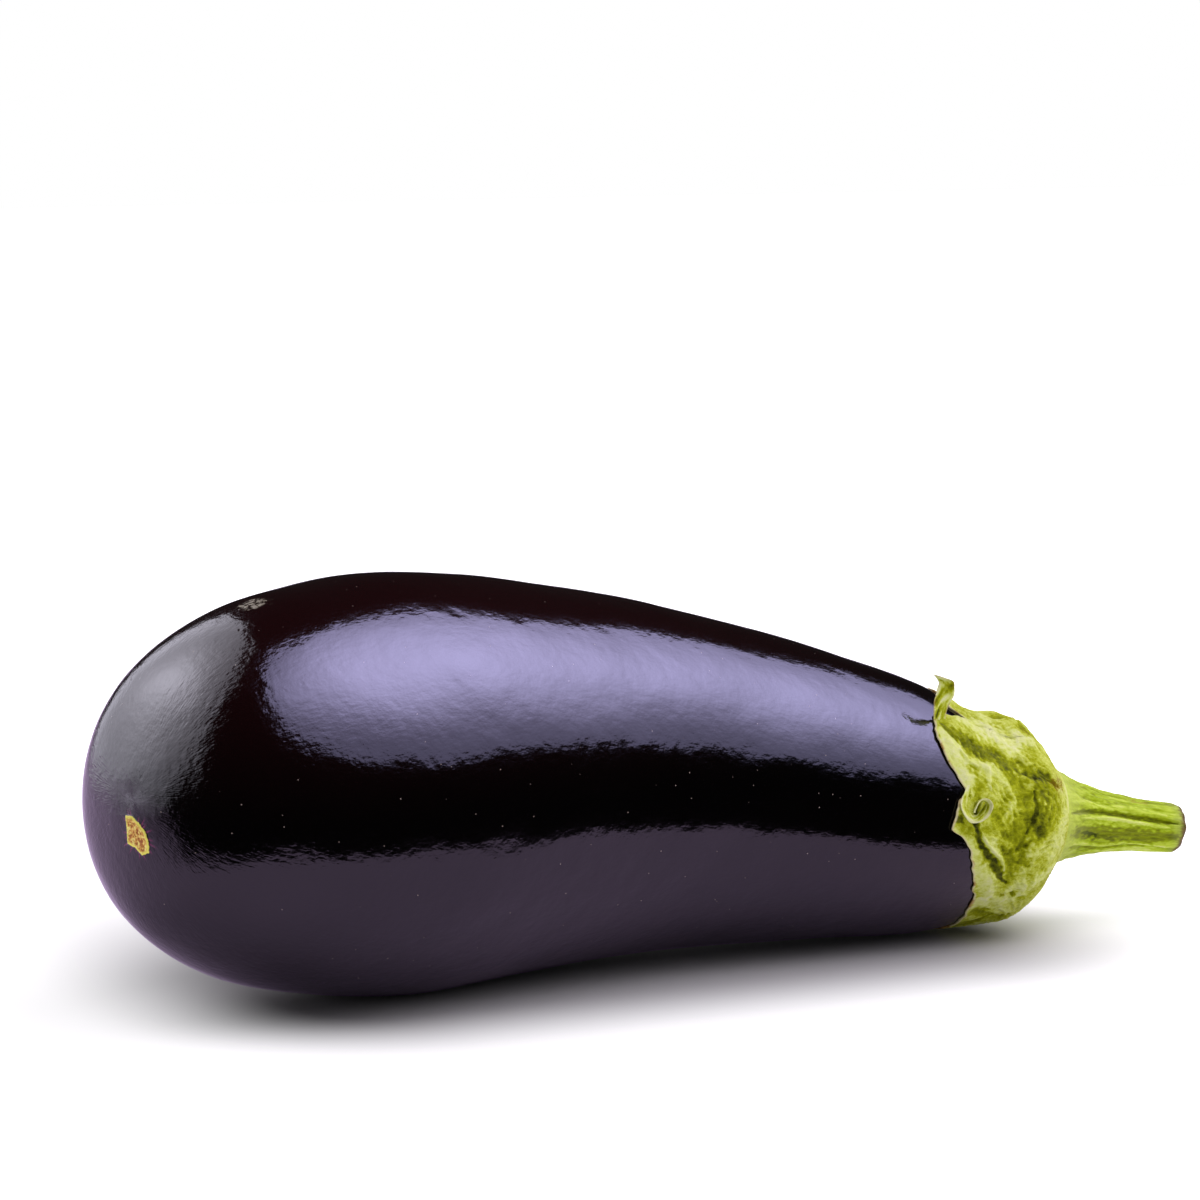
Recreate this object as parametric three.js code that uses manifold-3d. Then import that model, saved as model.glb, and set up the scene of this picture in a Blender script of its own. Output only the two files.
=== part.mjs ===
// An eggplant lying on its side: a glossy dark fruit, the green calyx that caps its
// neck with five pointed lobes, and the ribbed stem that leaves the calyx.
// Lengths are millimetres and angles are degrees. +X runs from the blossom end to the
// stem, +Z is up, and the origin is on the floor under the middle of the whole.

import * as THREE from 'three';
import { mergeVertices } from 'three/addons/utils/BufferGeometryUtils.js';
import Module from 'manifold-3d';

const wasm = await Module();
wasm.setup();

// Growth line, measured from the blossom end along it: [distance, pitch] knots, and the
// heading, which eases from one end of the bend to the other

const blossomEnd = [-126.24, -17.26, 46.6];
const lineLength = 260;
const pitchKnots = [
  [0, -6.6], [50, -1.8], [100, -4.0], [150, -9.6], [190, -11.0], [214, -3.6], [232, -6.5], [260, -9.1],
];
const blossomHeading = 17;
const neckHeading = -7.6;
const headingFrom = 10;
const headingTo = 187;

// Fruit skin: distance along the growth line and radius there

const skinStations = [
  [0, 0], [1.5, 10.6], [6, 23.0], [14, 31.2], [26, 37.2], [42, 41.0], [62, 43.1], [85, 42.1],
  [110, 39.4], [135, 36.1], [160, 32.7], [180, 29.7], [192, 27.5], [201, 25.1], [208, 22.5],
  [214, 19.2], [218.5, 14.0], [221, 7.5], [221.8, 0],
];
const skinSteps = 2;
const skinColumns = 60;
const scarOffset = [-7.1, 1.0];
const scarRadius = 4.3;
const scarSink = 0.55;
const scarRise = 0.4;

// Calyx: outer stations, thicknesses and the crown that the stem stands on

const calyxGap = 0.32;
const marginThickness = 0.75;
const crownSeat = 226;
const crownRadius = 11.6;
const calyxStations = [
  [180, 30.9], [188, 29.3], [196, 27.5], [204, 24.9], [209, 23.6], [214, 22.9], [219, 19.8],
  [223, 15.6], [225.3, 13.0], [crownSeat, crownRadius],
];

// Margin of the five lobes: angle round the neck from the top towards the viewer, and
// how far along the growth line the margin reaches there
const marginKnots = [
  [-66, 203.6], [-56, 200.5], [-47, 194], [-38, 189.5], [-26, 193], [-10, 195.4], [8, 195.2],
  [20, 195.3], [25, 196.6], [27.5, 198.6], [31, 198.6], [32.6, 194], [34.5, 189.2], [38, 186.4],
  [42, 185.4], [47, 185.2], [54, 186], [60, 187.2], [66, 189.8], [70, 191.4], [72.5, 192.6],
  [77, 191], [83, 190], [88, 189.6], [90, 189.8], [93, 192.8], [98, 195.5], [105, 197.3],
  [115, 199], [129, 201.2], [144, 201.8], [156, 201.9], [168, 201.4], [182, 200],
  [196, 199], [205, 197.6], [213, 195.2], [220, 199], [228, 203.6], [237, 201], [249, 194],
  [260, 188.6], [270, 192.4], [283, 200.4], [294, 203.6],
];

// Margins that stand off the skin: centre angle, half width, height and length
const marginLifts = [
  { angle: 47, spread: 17, height: 1.6, reach: 10 },
  { angle: 86, spread: 9, height: 1.0, reach: 6 },
  { angle: -38, spread: 11, height: 0.5, reach: 8 },
  { angle: 260, spread: 16, height: 1.4, reach: 9 },
];

// Folds of the calyx: height (valleys are negative), half width, and a path of
// [along the growth line, angle] points
const folds = [
  { height: -1.5, width: 1.9, path: [[186, 43], [190, 52], [199, 52], [209.5, 53], [216, 63]] },
  { height: 0.9, width: 4.0, path: [[200, 36], [208, 30], [216, 26]] },
  { height: -1.4, width: 1.1, path: [[193, 89], [199.5, 99], [206, 114]] },
  { height: 0.9, width: 1.8, path: [[194, 84], [201, 90], [208, 103]] },
  { height: -1.2, width: 2.6, path: [[212, 70], [211.5, 88], [210.5, 109]] },
  { height: 0.8, width: 2.4, path: [[193, 65], [201, 71], [208, 76]] },
  { height: 0.8, width: 2.6, path: [[200, 118], [208, 124], [215, 132]] },
  { height: -0.8, width: 1.6, path: [[206, 136], [211, 142]] },
  { height: 1.0, width: 3.4, path: [[204, 148], [207, 160], [207, 172]] },
  { height: -1.0, width: 2.2, path: [[204, 228], [211, 223], [217, 214]] },
  { height: 0.7, width: 3.0, path: [[202, 212], [209, 204], [216, 196]] },
  { height: -1.2, width: 2.0, path: [[191, 264], [199, 260], [209, 264]] },
  { height: 0.8, width: 3.0, path: [[197, 248], [206, 244], [215, 242]] },
  { height: -1.0, width: 2.2, path: [[204, -66], [211, -60], [217, -54]] },
  { height: -0.9, width: 1.8, path: [[192, -38], [200, -32], [209, -26]] },
  { height: 0.7, width: 2.6, path: [[200, -50], [208, -44], [216, -40]] },
];

// Dried lobe tips, as [along, angle, height above the skin, width, turn] points. Turn 90
// shows the strip's face to the viewer, turn 0 its edge

// The tip that twists up off the skin
const twistedTip = [
  [188.2, 43, 2.3, 2.4, 84], [185.6, 42.6, 2.5, 1.5, 78], [185.1, 40.1, 3.6, 1.8, 84],
  [185.7, 38.4, 4.9, 2.8, 92], [186.7, 35.9, 6.4, 3.5, 100], [186.3, 34.7, 7.6, 3.0, 116],
  [184.5, 34.7, 8.4, 1.8, 128], [181.9, 35.3, 9.1, 0.6, 136],
];

// The tip that is folded back over the calyx and rolled into a small scroll
const rolledTip = [
  [192.4, 78.2, 1.3, 2.6, 90], [190.6, 79.2, 1.9, 2.8, 84], [191.0, 81.4, 2.9, 2.5, 66],
  [192.6, 83.5, 3.2, 2.2, 44], [194.5, 84.7, 3.2, 1.9, 16], [196.4, 84.0, 3.2, 1.8, 4],
  [198.0, 81.6, 3.2, 1.8, 0], [198.5, 78.6, 3.2, 1.8, 0], [197.4, 76.6, 3.2, 1.7, 0],
  [195.6, 77.1, 3.2, 1.6, 0], [194.9, 79.4, 3.2, 1.5, 0],
];
const stripThickness = 0.62;
const viewerSide = [-0.46, -0.88, 0.12];

// Stem: flared foot on the crown, grooves and a bevelled cut end

const stemGap = 0.32;
const stemStations = [
  [crownSeat + stemGap, 11.1], [228, 10.2], [231, 8.9], [234.5, 7.85], [238, 7.1], [242, 6.45],
  [246, 6.0], [250, 5.72], [254, 5.6], [258, 5.55],
];
const cutEnd = 259;
const cutRadius = 4.6;
const stemColumns = 36;
const stemGrooves = [
  { angle: 72, depth: 0.75, spread: 13 },
  { angle: 126, depth: 0.55, spread: 11 },
  { angle: 22, depth: 0.3, spread: 10 },
  { angle: 190, depth: 0.55, spread: 13 },
  { angle: 246, depth: 0.6, spread: 12 },
  { angle: 306, depth: 0.5, spread: 12 },
];

const radians = THREE.MathUtils.degToRad;

function smoothStep(x) {
  const t = Math.min(Math.max(x, 0), 1);
  return t * t * (3 - 2 * t);
}

// A smooth curve through [x, y] knots that never runs past them
function through(knots, x) {
  const last = knots.length - 1;
  const i = Math.min(Math.max(knots.findIndex((knot) => x < knot[0]) - 1, 0), last - 1);
  const from = x >= knots[last][0] ? last - 1 : i;
  const slope = (k) => (knots[k + 1][1] - knots[k][1]) / (knots[k + 1][0] - knots[k][0]);
  const tangent = (k) => {
    if (k === 0) return slope(0);
    if (k === last) return slope(last - 1);
    const before = slope(k - 1);
    const after = slope(k);
    return before * after <= 0 ? 0 : (2 * before * after) / (before + after);
  };
  const [x0, y0] = knots[from];
  const [x1, y1] = knots[from + 1];
  const span = x1 - x0;
  const t = (x - x0) / span;
  return y0 * (1 + 2 * t) * (1 - t) ** 2 + y1 * t * t * (3 - 2 * t)
    + span * t * (1 - t) * ((1 - t) * tangent(from) - t * tangent(from + 1));
}

// The direction is summed along the growth line in half-millimetre steps

function directionAt(s) {
  const pitch = radians(through(pitchKnots, s));
  const sweep = smoothStep((s - headingFrom) / (headingTo - headingFrom));
  const heading = radians(blossomHeading + (neckHeading - blossomHeading) * sweep);
  const along = new THREE.Vector3(
    Math.cos(pitch) * Math.cos(heading), Math.cos(pitch) * Math.sin(heading), Math.sin(pitch));
  const front = new THREE.Vector3(Math.sin(heading), -Math.cos(heading), 0);
  const up = new THREE.Vector3().crossVectors(front, along);
  return { along, front, up };
}

const lineStep = 0.5;
const linePoints = [new THREE.Vector3(...blossomEnd)];
for (let i = 0; i < lineLength / lineStep; i += 1) {
  const middle = directionAt((i + 0.5) * lineStep).along;
  linePoints.push(linePoints[i].clone().addScaledVector(middle, lineStep));
}

function pointOnLine(s) {
  const place = Math.min(Math.max(s / lineStep, 0), linePoints.length - 1.001);
  const i = Math.floor(place);
  return linePoints[i].clone().lerp(linePoints[i + 1], place - i);
}

// A point at radius r and angle round the growth line, the angle counted from the top
// towards the viewer
function around(s, r, angle) {
  const { up, front } = directionAt(s);
  return pointOnLine(s)
    .addScaledVector(up, r * Math.cos(radians(angle)))
    .addScaledVector(front, r * Math.sin(radians(angle)));
}

// Catmull-Rom through [s, radius] stations. An end on the axis is mirrored across it, so
// that the surface is round there

function mirroredEnds(stations) {
  const ghost = (end, next) => (end[1] === 0
    ? [next[0], -next[1]]
    : [2 * end[0] - next[0], 2 * end[1] - next[1]]);
  const last = stations.length - 1;
  return [ghost(stations[0], stations[1]), ...stations, ghost(stations[last], stations[last - 1])];
}

function along(stations, t) {
  const padded = mirroredEnds(stations);
  const i = Math.min(Math.floor(t), stations.length - 2);
  const x = t - i;
  return [0, 1].map((axis) => {
    const [a, b, c, d] = padded.slice(i, i + 4).map((station) => station[axis]);
    return 0.5 * (2 * b + (c - a) * x + (2 * a - 5 * b + 4 * c - d) * x ** 2
      + (3 * b - a - 3 * c + d) * x ** 3);
  });
}

// The place t on a profile where it has passed the length s
function placeOf(stations, s) {
  let low = 0;
  let high = stations.length - 1;
  for (let i = 0; i < 40; i += 1) {
    const middle = (low + high) / 2;
    if (along(stations, middle)[0] < s) low = middle;
    else high = middle;
  }
  return (low + high) / 2;
}

const radiusOf = (stations, s) => along(stations, placeOf(stations, s))[1];

// The fruit is a little out of round, and flatter under the neck where it lies
function outOfRound(s, angle) {
  const lean = 0.004 * Math.cos(radians(2 * angle + s)) + 0.003 * Math.cos(radians(3 * angle - 1.5 * s));
  const under = Math.max(0, -Math.cos(radians(angle))) ** 4;
  return 1 + lean * smoothStep(s / 30) - 0.006 * under * smoothStep((s - 140) / 50);
}

const skinRadius = (s, angle) => radiusOf(skinStations, s) * outOfRound(s, angle);

// A closed mesh from rings of points. Each end closes on one point

function closedRings(firstPoint, rings, lastPoint) {
  const columns = rings[0].length;
  const positions = [];
  const indices = [];
  const add = (point) => positions.push(point.x, point.y, point.z);
  add(firstPoint);
  rings.forEach((ring) => ring.forEach(add));
  add(lastPoint);
  const lastIndex = rings.length * columns + 1;
  const at = (ring, column) => 1 + ring * columns + (column % columns);
  for (let column = 0; column < columns; column += 1) {
    indices.push(0, at(0, column + 1), at(0, column));
    for (let ring = 0; ring < rings.length - 1; ring += 1) {
      const a = at(ring, column);
      const b = at(ring, column + 1);
      const c = at(ring + 1, column);
      const d = at(ring + 1, column + 1);
      indices.push(a, b, c, b, d, c);
    }
    indices.push(at(rings.length - 1, column), at(rings.length - 1, column + 1), lastIndex);
  }
  const geometry = new THREE.BufferGeometry();
  geometry.setAttribute('position', new THREE.Float32BufferAttribute(positions, 3));
  geometry.setIndex(indices);
  return geometry;
}

function solidOf(geometry) {
  const bare = geometry.clone();
  bare.deleteAttribute('normal');
  bare.deleteAttribute('uv');
  const merged = mergeVertices(bare, 1e-4);
  return new wasm.Manifold(new wasm.Mesh({
    numProp: 3,
    vertProperties: new Float32Array(merged.attributes.position.array),
    triVerts: new Uint32Array(merged.index.array),
  }));
}

function geometryOf(solid) {
  const mesh = solid.getMesh();
  const geometry = new THREE.BufferGeometry();
  geometry.setAttribute('position', new THREE.BufferAttribute(new Float32Array(mesh.vertProperties), 3));
  geometry.setIndex(new THREE.BufferAttribute(new Uint32Array(mesh.triVerts), 1));
  return geometry;
}

// What lies on the floor is pressed flat there
function restedOnFloor(solid) {
  const floor = new THREE.BoxGeometry(400, 200, 20);
  floor.translate(0, 0, -10);
  return solid.subtract(solidOf(floor));
}

// Fruit

function fruitGeometry() {
  // The corky blossom scar is a raised patch in a shallow hollow
  const scarShift = (s, r, angle) => {
    const high = r * Math.cos(radians(angle)) - scarOffset[0];
    const wide = r * Math.sin(radians(angle)) - scarOffset[1];
    const away = Math.hypot(high, wide);
    const hollow = scarSink * Math.exp(-((away / (2 * scarRadius)) ** 2));
    return hollow - scarRise * smoothStep((scarRadius - away) / 1.5 + 0.5);
  };
  const rings = [];
  const lastPlace = skinStations.length - 1;
  const places = [0.15, 0.3, 0.45, 0.6, 0.8];
  for (let t = 1; t < lastPlace - 0.01; t += 1 / skinSteps) places.push(t);
  places.forEach((t) => {
    const [s, r] = along(skinStations, t);
    const ring = [];
    for (let column = 0; column < skinColumns; column += 1) {
      const angle = (column * 360) / skinColumns;
      const radius = r * outOfRound(s, angle);
      const shift = s < 8 ? scarShift(s, radius, angle) : 0;
      ring.push(around(s, radius, angle).addScaledVector(directionAt(s).along, shift));
    }
    rings.push(ring);
  });
  const first = pointOnLine(0).addScaledVector(directionAt(0).along, scarShift(0, 0, 0));
  const last = pointOnLine(skinStations[lastPlace][0]);
  return geometryOf(restedOnFloor(solidOf(closedRings(first, rings, last))));
}

// Calyx

const turnBetween = (a, b) => ((((a - b) % 360) + 540) % 360) - 180;

function liftAt(s, angle, margin) {
  return marginLifts.reduce((sum, lift) => {
    const side = Math.exp(-((turnBetween(angle, lift.angle) / lift.spread) ** 2));
    return sum + lift.height * side * smoothStep(1 - (s - margin) / lift.reach);
  }, 0);
}

// Distances to a fold are taken on the unrolled neck
function foldsAt(s, angle) {
  const around1 = radians(1) * radiusOf(calyxStations, s);
  return folds.reduce((sum, fold) => {
    let nearest = Infinity;
    for (let i = 0; i < fold.path.length - 1; i += 1) {
      const [a, b] = [fold.path[i], fold.path[i + 1]];
      const run = [b[0] - a[0], (b[1] - a[1]) * around1];
      const gone = [s - a[0], turnBetween(angle, a[1]) * around1];
      const length = run[0] ** 2 + run[1] ** 2;
      const share = Math.min(Math.max((gone[0] * run[0] + gone[1] * run[1]) / length, 0), 1);
      nearest = Math.min(nearest, Math.hypot(gone[0] - share * run[0], gone[1] - share * run[1]));
    }
    return sum + fold.height * Math.exp(-((nearest / fold.width) ** 2));
  }, 0);
}

function calyxOuter(s, angle, margin) {
  const lift = liftAt(s, angle, margin);
  const least = (s < 214 ? skinRadius(s, angle) : 0) + calyxGap + marginThickness;
  const fade = smoothStep((s - margin) / 3) * smoothStep((crownSeat - s) / 6);
  const full = radiusOf(calyxStations, s) * outOfRound(s, angle) + foldsAt(s, angle) * fade;
  return Math.max(least, full) + lift;
}

// The inner face follows the skin profile, offset along the profile's own normal
function calyxInner(t, angle, margin) {
  const [s, r] = along(skinStations, t);
  const [s1, r1] = along(skinStations, t - 0.001);
  const slope = Math.atan2(r1 - r, s - s1);
  const lift = liftAt(s, angle, margin);
  const radius = r * outOfRound(s, angle) + calyxGap * Math.cos(slope) + lift;
  return around(s + calyxGap * Math.sin(slope), Math.max(radius, 0), angle);
}

function calyxBody() {
  const angles = [];
  marginKnots.slice(0, -1).forEach(([angle], i) => {
    const span = marginKnots[i + 1][0] - angle;
    const parts = Math.max(1, Math.round(span / 4));
    for (let k = 0; k < parts; k += 1) angles.push(angle + (span * k) / parts);
  });
  const margins = angles.map((angle) => through(marginKnots, angle));
  const shares = [0, 0.08, 0.17, 0.27, 0.37, 0.47, 0.57, 0.67, 0.76, 0.84, 0.91, 0.96, 1];
  const rings = shares.map((share) => angles.map((angle, i) => {
    const s = margins[i] + (crownSeat - margins[i]) * share;
    return around(s, share === 1 ? crownRadius : calyxOuter(s, angle, margins[i]), angle);
  }));
  const lastPlace = skinStations.length - 1;
  const inner = [0.86, 0.72, 0.58, 0.44, 0.32, 0.2, 0.1, 0].map((share) => angles.map((angle, i) => {
    const from = placeOf(skinStations, margins[i]);
    return calyxInner(from + (lastPlace - from) * share, angle, margins[i]);
  }));
  const seat = pointOnLine(crownSeat);
  const tip = pointOnLine(skinStations[lastPlace][0] + calyxGap);
  return closedRings(tip, [...inner, ...rings], seat);
}

// A strip of the given thickness along a lobe tip's points

function stripGeometry(path, thickness) {
  const centres = path.map(([s, angle, height]) => around(s, skinRadius(s, angle) + height, angle));
  const curve = new THREE.CatmullRomCurve3(centres);
  const steps = 26;
  const rings = [];
  for (let i = 0; i <= steps; i += 1) {
    const share = i / steps;
    const place = share * (path.length - 1);
    const k = Math.min(Math.floor(place), path.length - 2);
    const mix = (item) => THREE.MathUtils.lerp(path[k][item], path[k + 1][item], place - k);
    const centre = curve.getPoint(share);
    const run = curve.getTangent(share);
    const out = new THREE.Vector3(...viewerSide);
    out.addScaledVector(run, -out.dot(run)).normalize();
    const across = new THREE.Vector3().crossVectors(run, out);
    const turn = radians(mix(4));
    const wide = out.clone().multiplyScalar(Math.cos(turn)).addScaledVector(across, Math.sin(turn));
    const thick = new THREE.Vector3().crossVectors(run, wide);
    const corners = [[1, 1], [-1, 1], [-1, -1], [1, -1]];
    rings.push(corners.map(([w, h]) => centre.clone()
      .addScaledVector(wide, (w * mix(3)) / 2)
      .addScaledVector(thick, (h * thickness) / 2)));
  }
  return closedRings(curve.getPoint(0), rings, curve.getPoint(1));
}

// Stem

function stemGeometry() {
  const grooveAt = (s, angle) => stemGrooves.reduce((sum, groove) => {
    const off = turnBetween(angle, groove.angle) / groove.spread;
    return sum + groove.depth * Math.exp(-(off ** 2));
  }, 0) * smoothStep((s - crownSeat) / 5 + 0.2) * smoothStep((cutEnd + 3 - s) / 8 + 0.35);
  const rings = [];
  const lastPlace = stemStations.length - 1;
  for (let t = 0; t <= lastPlace + 0.01; t += 0.5) {
    const [s, r] = along(stemStations, Math.min(t, lastPlace));
    const ring = [];
    for (let column = 0; column < stemColumns; column += 1) {
      const angle = (column * 360) / stemColumns;
      ring.push(around(s, r - grooveAt(s, angle), angle));
    }
    rings.push(ring);
  }
  rings.push(rings[0].map((point, column) => around(cutEnd, cutRadius, (column * 360) / stemColumns)));
  return closedRings(pointOnLine(crownSeat + stemGap), rings, pointOnLine(cutEnd));
}

const strips = [twistedTip, rolledTip].map((path) => solidOf(stripGeometry(path, stripThickness)));
const calyxSolid = strips.reduce((solid, strip) => solid.add(strip), solidOf(calyxBody()));

const skinMaterial = new THREE.MeshStandardMaterial({ color: 0x1c1018, roughness: 0.18, metalness: 0 });
const calyxMaterial = new THREE.MeshStandardMaterial({ color: 0x9db040, roughness: 0.65, metalness: 0 });
const stemMaterial = new THREE.MeshStandardMaterial({ color: 0x8fae34, roughness: 0.6, metalness: 0 });

function named(name, geometry, material) {
  const mesh = new THREE.Mesh(geometry, material);
  mesh.name = name;
  return mesh;
}

const eggplant = new THREE.Group();
eggplant.add(named('fruit', fruitGeometry(), skinMaterial));
eggplant.add(named('calyx', geometryOf(restedOnFloor(calyxSolid)), calyxMaterial));
eggplant.add(named('stem', stemGeometry(), stemMaterial));

export default eggplant;
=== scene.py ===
import bpy
import numpy as np
from mathutils import Matrix


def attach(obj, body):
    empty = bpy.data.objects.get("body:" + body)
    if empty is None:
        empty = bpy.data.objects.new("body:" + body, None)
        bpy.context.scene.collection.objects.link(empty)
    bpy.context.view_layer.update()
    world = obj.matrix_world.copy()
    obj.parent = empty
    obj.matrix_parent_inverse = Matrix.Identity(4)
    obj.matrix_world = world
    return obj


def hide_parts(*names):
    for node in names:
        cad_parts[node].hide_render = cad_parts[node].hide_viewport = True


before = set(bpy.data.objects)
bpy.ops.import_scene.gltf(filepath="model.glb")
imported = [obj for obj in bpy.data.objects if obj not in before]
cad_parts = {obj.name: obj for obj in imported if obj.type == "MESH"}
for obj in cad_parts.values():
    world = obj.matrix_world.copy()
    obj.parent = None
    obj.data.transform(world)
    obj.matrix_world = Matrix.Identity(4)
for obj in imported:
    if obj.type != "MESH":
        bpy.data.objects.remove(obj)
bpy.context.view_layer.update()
print("frame loaded")

# Lengths in the dictionaries are millimetres and angles are degrees. s is the distance along
# the growth line from the blossom end. An angle round the line starts at the top and turns
# towards the viewer.

metre = 0.001

growth = {
    "blossomEnd": (-126.24, -17.26, 46.6),
    "length": 260.0,
    "step": 0.25,
    "pitch": [
        (0, -6.6), (50, -1.8), (100, -4.0), (150, -9.6), (190, -11.0), (214, -3.6), (232, -6.5),
        (260, -9.1),
    ],
    "blossomHeading": 17.0,
    "neckHeading": -7.6,
    "headingFrom": 10.0,
    "headingTo": 187.0,
}


def smoothStep(x):  # 3x^2 - 2x^3 from 0 to 1, flat outside
    x = np.clip(x, 0, 1)
    return x * x * (3 - 2 * x)


def between(x, low, high):  # a smooth step from 0 at low to 1 at high, down where low is the greater
    return smoothStep((x - low) / (high - low))


def through(knots, x):  # cubic through knots, each slope the harmonic mean of its two neighbours
    xs, ys = np.array(knots, float).T
    slope = np.diff(ys) / np.diff(xs)
    before, after = slope[:-1], slope[1:]
    level = before * after <= 0
    mean = np.where(level, 0, 2 * before * after / np.where(level, 1, before + after))
    tangent = np.concatenate([slope[:1], mean, slope[-1:]])
    i = np.clip(np.searchsorted(xs, x, side="right") - 1, 0, len(xs) - 2)
    span = xs[i + 1] - xs[i]
    t = (x - xs[i]) / span
    return (ys[i] * (1 + 2 * t) * (1 - t) ** 2 + ys[i + 1] * t * t * (3 - 2 * t)
            + span * t * (1 - t) * ((1 - t) * tangent[i] - t * tangent[i + 1]))


def directions(s):  # along the line, towards the viewer, and up from it, from pitch and heading
    pitch = np.radians(through(growth["pitch"], s))
    sweep = between(s, growth["headingFrom"], growth["headingTo"])
    first, last = growth["blossomHeading"], growth["neckHeading"]
    heading = np.radians(first + (last - first) * sweep)
    along = np.stack([np.cos(pitch) * np.cos(heading), np.cos(pitch) * np.sin(heading), np.sin(pitch)], -1)
    front = np.stack([np.sin(heading), -np.cos(heading), 0 * heading], -1)
    return along, front, np.cross(front, along)


lineAt = np.arange(0, growth["length"] + growth["step"], growth["step"])
lineSteps = directions(lineAt[:-1] + growth["step"] / 2)[0] * growth["step"]
linePoints = np.array(growth["blossomEnd"]) + np.vstack([np.zeros(3), np.cumsum(lineSteps, 0)])


def pointOnLine(s):
    return np.stack([np.interp(s, lineAt, linePoints[:, axis]) for axis in range(3)], -1)


def around(s, r, angle):  # line(s) + r (cos angle up + sin angle front)
    s, r, angle = np.broadcast_arrays(np.asarray(s, float), r, np.radians(angle))
    along, front, up = directions(s)
    out = np.cos(angle)[..., None] * up + np.sin(angle)[..., None] * front
    return pointOnLine(s) + r[..., None] * out


def curve(points, t, first=None, last=None):  # Catmull-Rom, passes the points at t = 0, 1, 2 ...
    p = np.array(points, float)
    first = 2 * p[0] - p[1] if first is None else first
    last = 2 * p[-1] - p[-2] if last is None else last
    i = np.clip(np.floor(t).astype(int), 0, len(p) - 2)
    x = (t - i)[..., None]
    p = np.vstack([first, p, last])
    a, b, c, d = p[i], p[i + 1], p[i + 2], p[i + 3]
    square, cube = 2 * a - 5 * b + 4 * c - d, 3 * b - a - 3 * c + d
    return 0.5 * (2 * b + (c - a) * x + square * x ** 2 + cube * x ** 3)


def profile(stations, t):  # the curve through (s, radius) stations, mirrored at an end on the axis
    first = np.multiply(stations[1], (1, -1)) if stations[0][1] == 0 else None
    last = np.multiply(stations[-2], (1, -1)) if stations[-1][1] == 0 else None
    return curve(stations, t, first, last)


def placeOf(stations, s):  # the t at which a profile has passed the length s
    table = np.linspace(0, len(stations) - 1, 6001)
    return np.interp(s, profile(stations, table)[:, 0], table)


def radiusOf(stations, s):
    return profile(stations, placeOf(stations, s))[..., 1]


def waves(points, length, seed, count=14):  # plane waves of about one length, in random directions
    random = np.random.default_rng(seed)
    ways = random.normal(size=(count, 3))
    lengths = length * random.uniform(0.75, 1.35, count)
    ways *= (2 * np.pi / lengths / np.linalg.norm(ways, axis=1))[:, None]
    return np.cos(points @ ways.T + random.uniform(0, 2 * np.pi, count)).sum(-1) * np.sqrt(2 / count)


def wrinkles(points, length, seed):  # 0.8 - |waves| of points pushed about by longer waves: thin crests
    push = np.stack([waves(points, 3 * length, seed + axis) for axis in range(1, 4)], -1)
    return 0.8 - np.abs(waves(points + 0.5 * length * push, length, seed))


def turnBetween(a, b):
    return (a - b + 180) % 360 - 180


def nearestOn(path, s, angle, perDegree):  # distance to a path on the unrolled surface, share passed
    knots = curve(path, np.linspace(0, len(path) - 1, 4 * len(path) - 3))
    nearest = np.full(s.shape, np.inf)
    passed = np.zeros(s.shape)
    for k, ((s0, angle0), (s1, angle1)) in enumerate(zip(knots[:-1], knots[1:])):
        run, turned = s1 - s0, (angle1 - angle0) * perDegree
        gone, aside = s - s0, turnBetween(angle, angle0) * perDegree
        share = np.clip((gone * run + aside * turned) / (run ** 2 + turned ** 2), 0, 1)
        distance = np.hypot(gone - share * run, aside - share * turned)
        passed = np.where(distance < nearest, (k + share) / (len(knots) - 1), passed)
        nearest = np.minimum(nearest, distance)
    return nearest, passed


def drawMarks(marks, s, angle, perDegree, mottle):  # tone and height that a list of marks adds up to
    tone, height = 0 * s, 0 * s
    for shade, rise, width, path in marks:
        away, passed = nearestOn(path, s, angle, perDegree)
        taper = 0.4 + 0.6 * smoothStep(4 * passed) * smoothStep(4 * (1 - passed))
        away = away / (width * taper)
        tone = tone + shade * (1 - smoothStep(away - 0.5 + 0.25 * mottle))
        height = height + rise * np.exp(-away ** 2)
    return tone, height


def closedMesh(name, first, rings, last):  # rings of points, each end closed on one point
    count, columns = rings.shape[:2]
    points = np.vstack([first, rings.reshape(-1, 3), last]) * metre
    column = np.arange(columns)
    after = (column + 1) % columns
    ring = 1 + columns * np.arange(count - 1)[:, None]
    quads = np.stack([ring + column, ring + after, ring + columns + after, ring + columns + column], -1)
    lastRing = 1 + columns * (count - 1)
    top = np.stack([0 * column, 1 + after, 1 + column], -1)
    tail = np.stack([lastRing + column, lastRing + after, 0 * column + len(points) - 1], -1)
    mesh = bpy.data.meshes.new(name)
    mesh.from_pydata(points.tolist(), [], quads.reshape(-1, 4).tolist() + top.tolist() + tail.tolist())
    mesh.shade_smooth()
    piece = bpy.data.objects.new(name, mesh)
    bpy.context.scene.collection.objects.link(piece)
    return piece


def tag(piece, name, rings, ends=(0.0, 0.0)):  # a number for each point, kept with the mesh
    values = np.concatenate([[ends[0]], np.ravel(rings), [ends[1]]]).astype(np.float32)
    piece.data.attributes.new(name, "FLOAT", "POINT").data.foreach_set("value", values)


def tagPlace(piece, name, rings):  # three numbers for each point, those at the ends from the nearest ring
    first, last = rings[0].mean(0), rings[-1].mean(0)
    values = np.vstack([first, rings.reshape(-1, 3), last]).astype(np.float32)
    piece.data.attributes.new(name, "FLOAT_VECTOR", "POINT").data.foreach_set("vector", values.ravel())


def straightened(s, r, angle):  # the place when the growth line is made straight: s, r cos, r sin
    turn = np.radians(angle)
    return np.stack(np.broadcast_arrays(s, r * np.cos(turn), r * np.sin(turn)), -1)


# Materials

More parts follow.
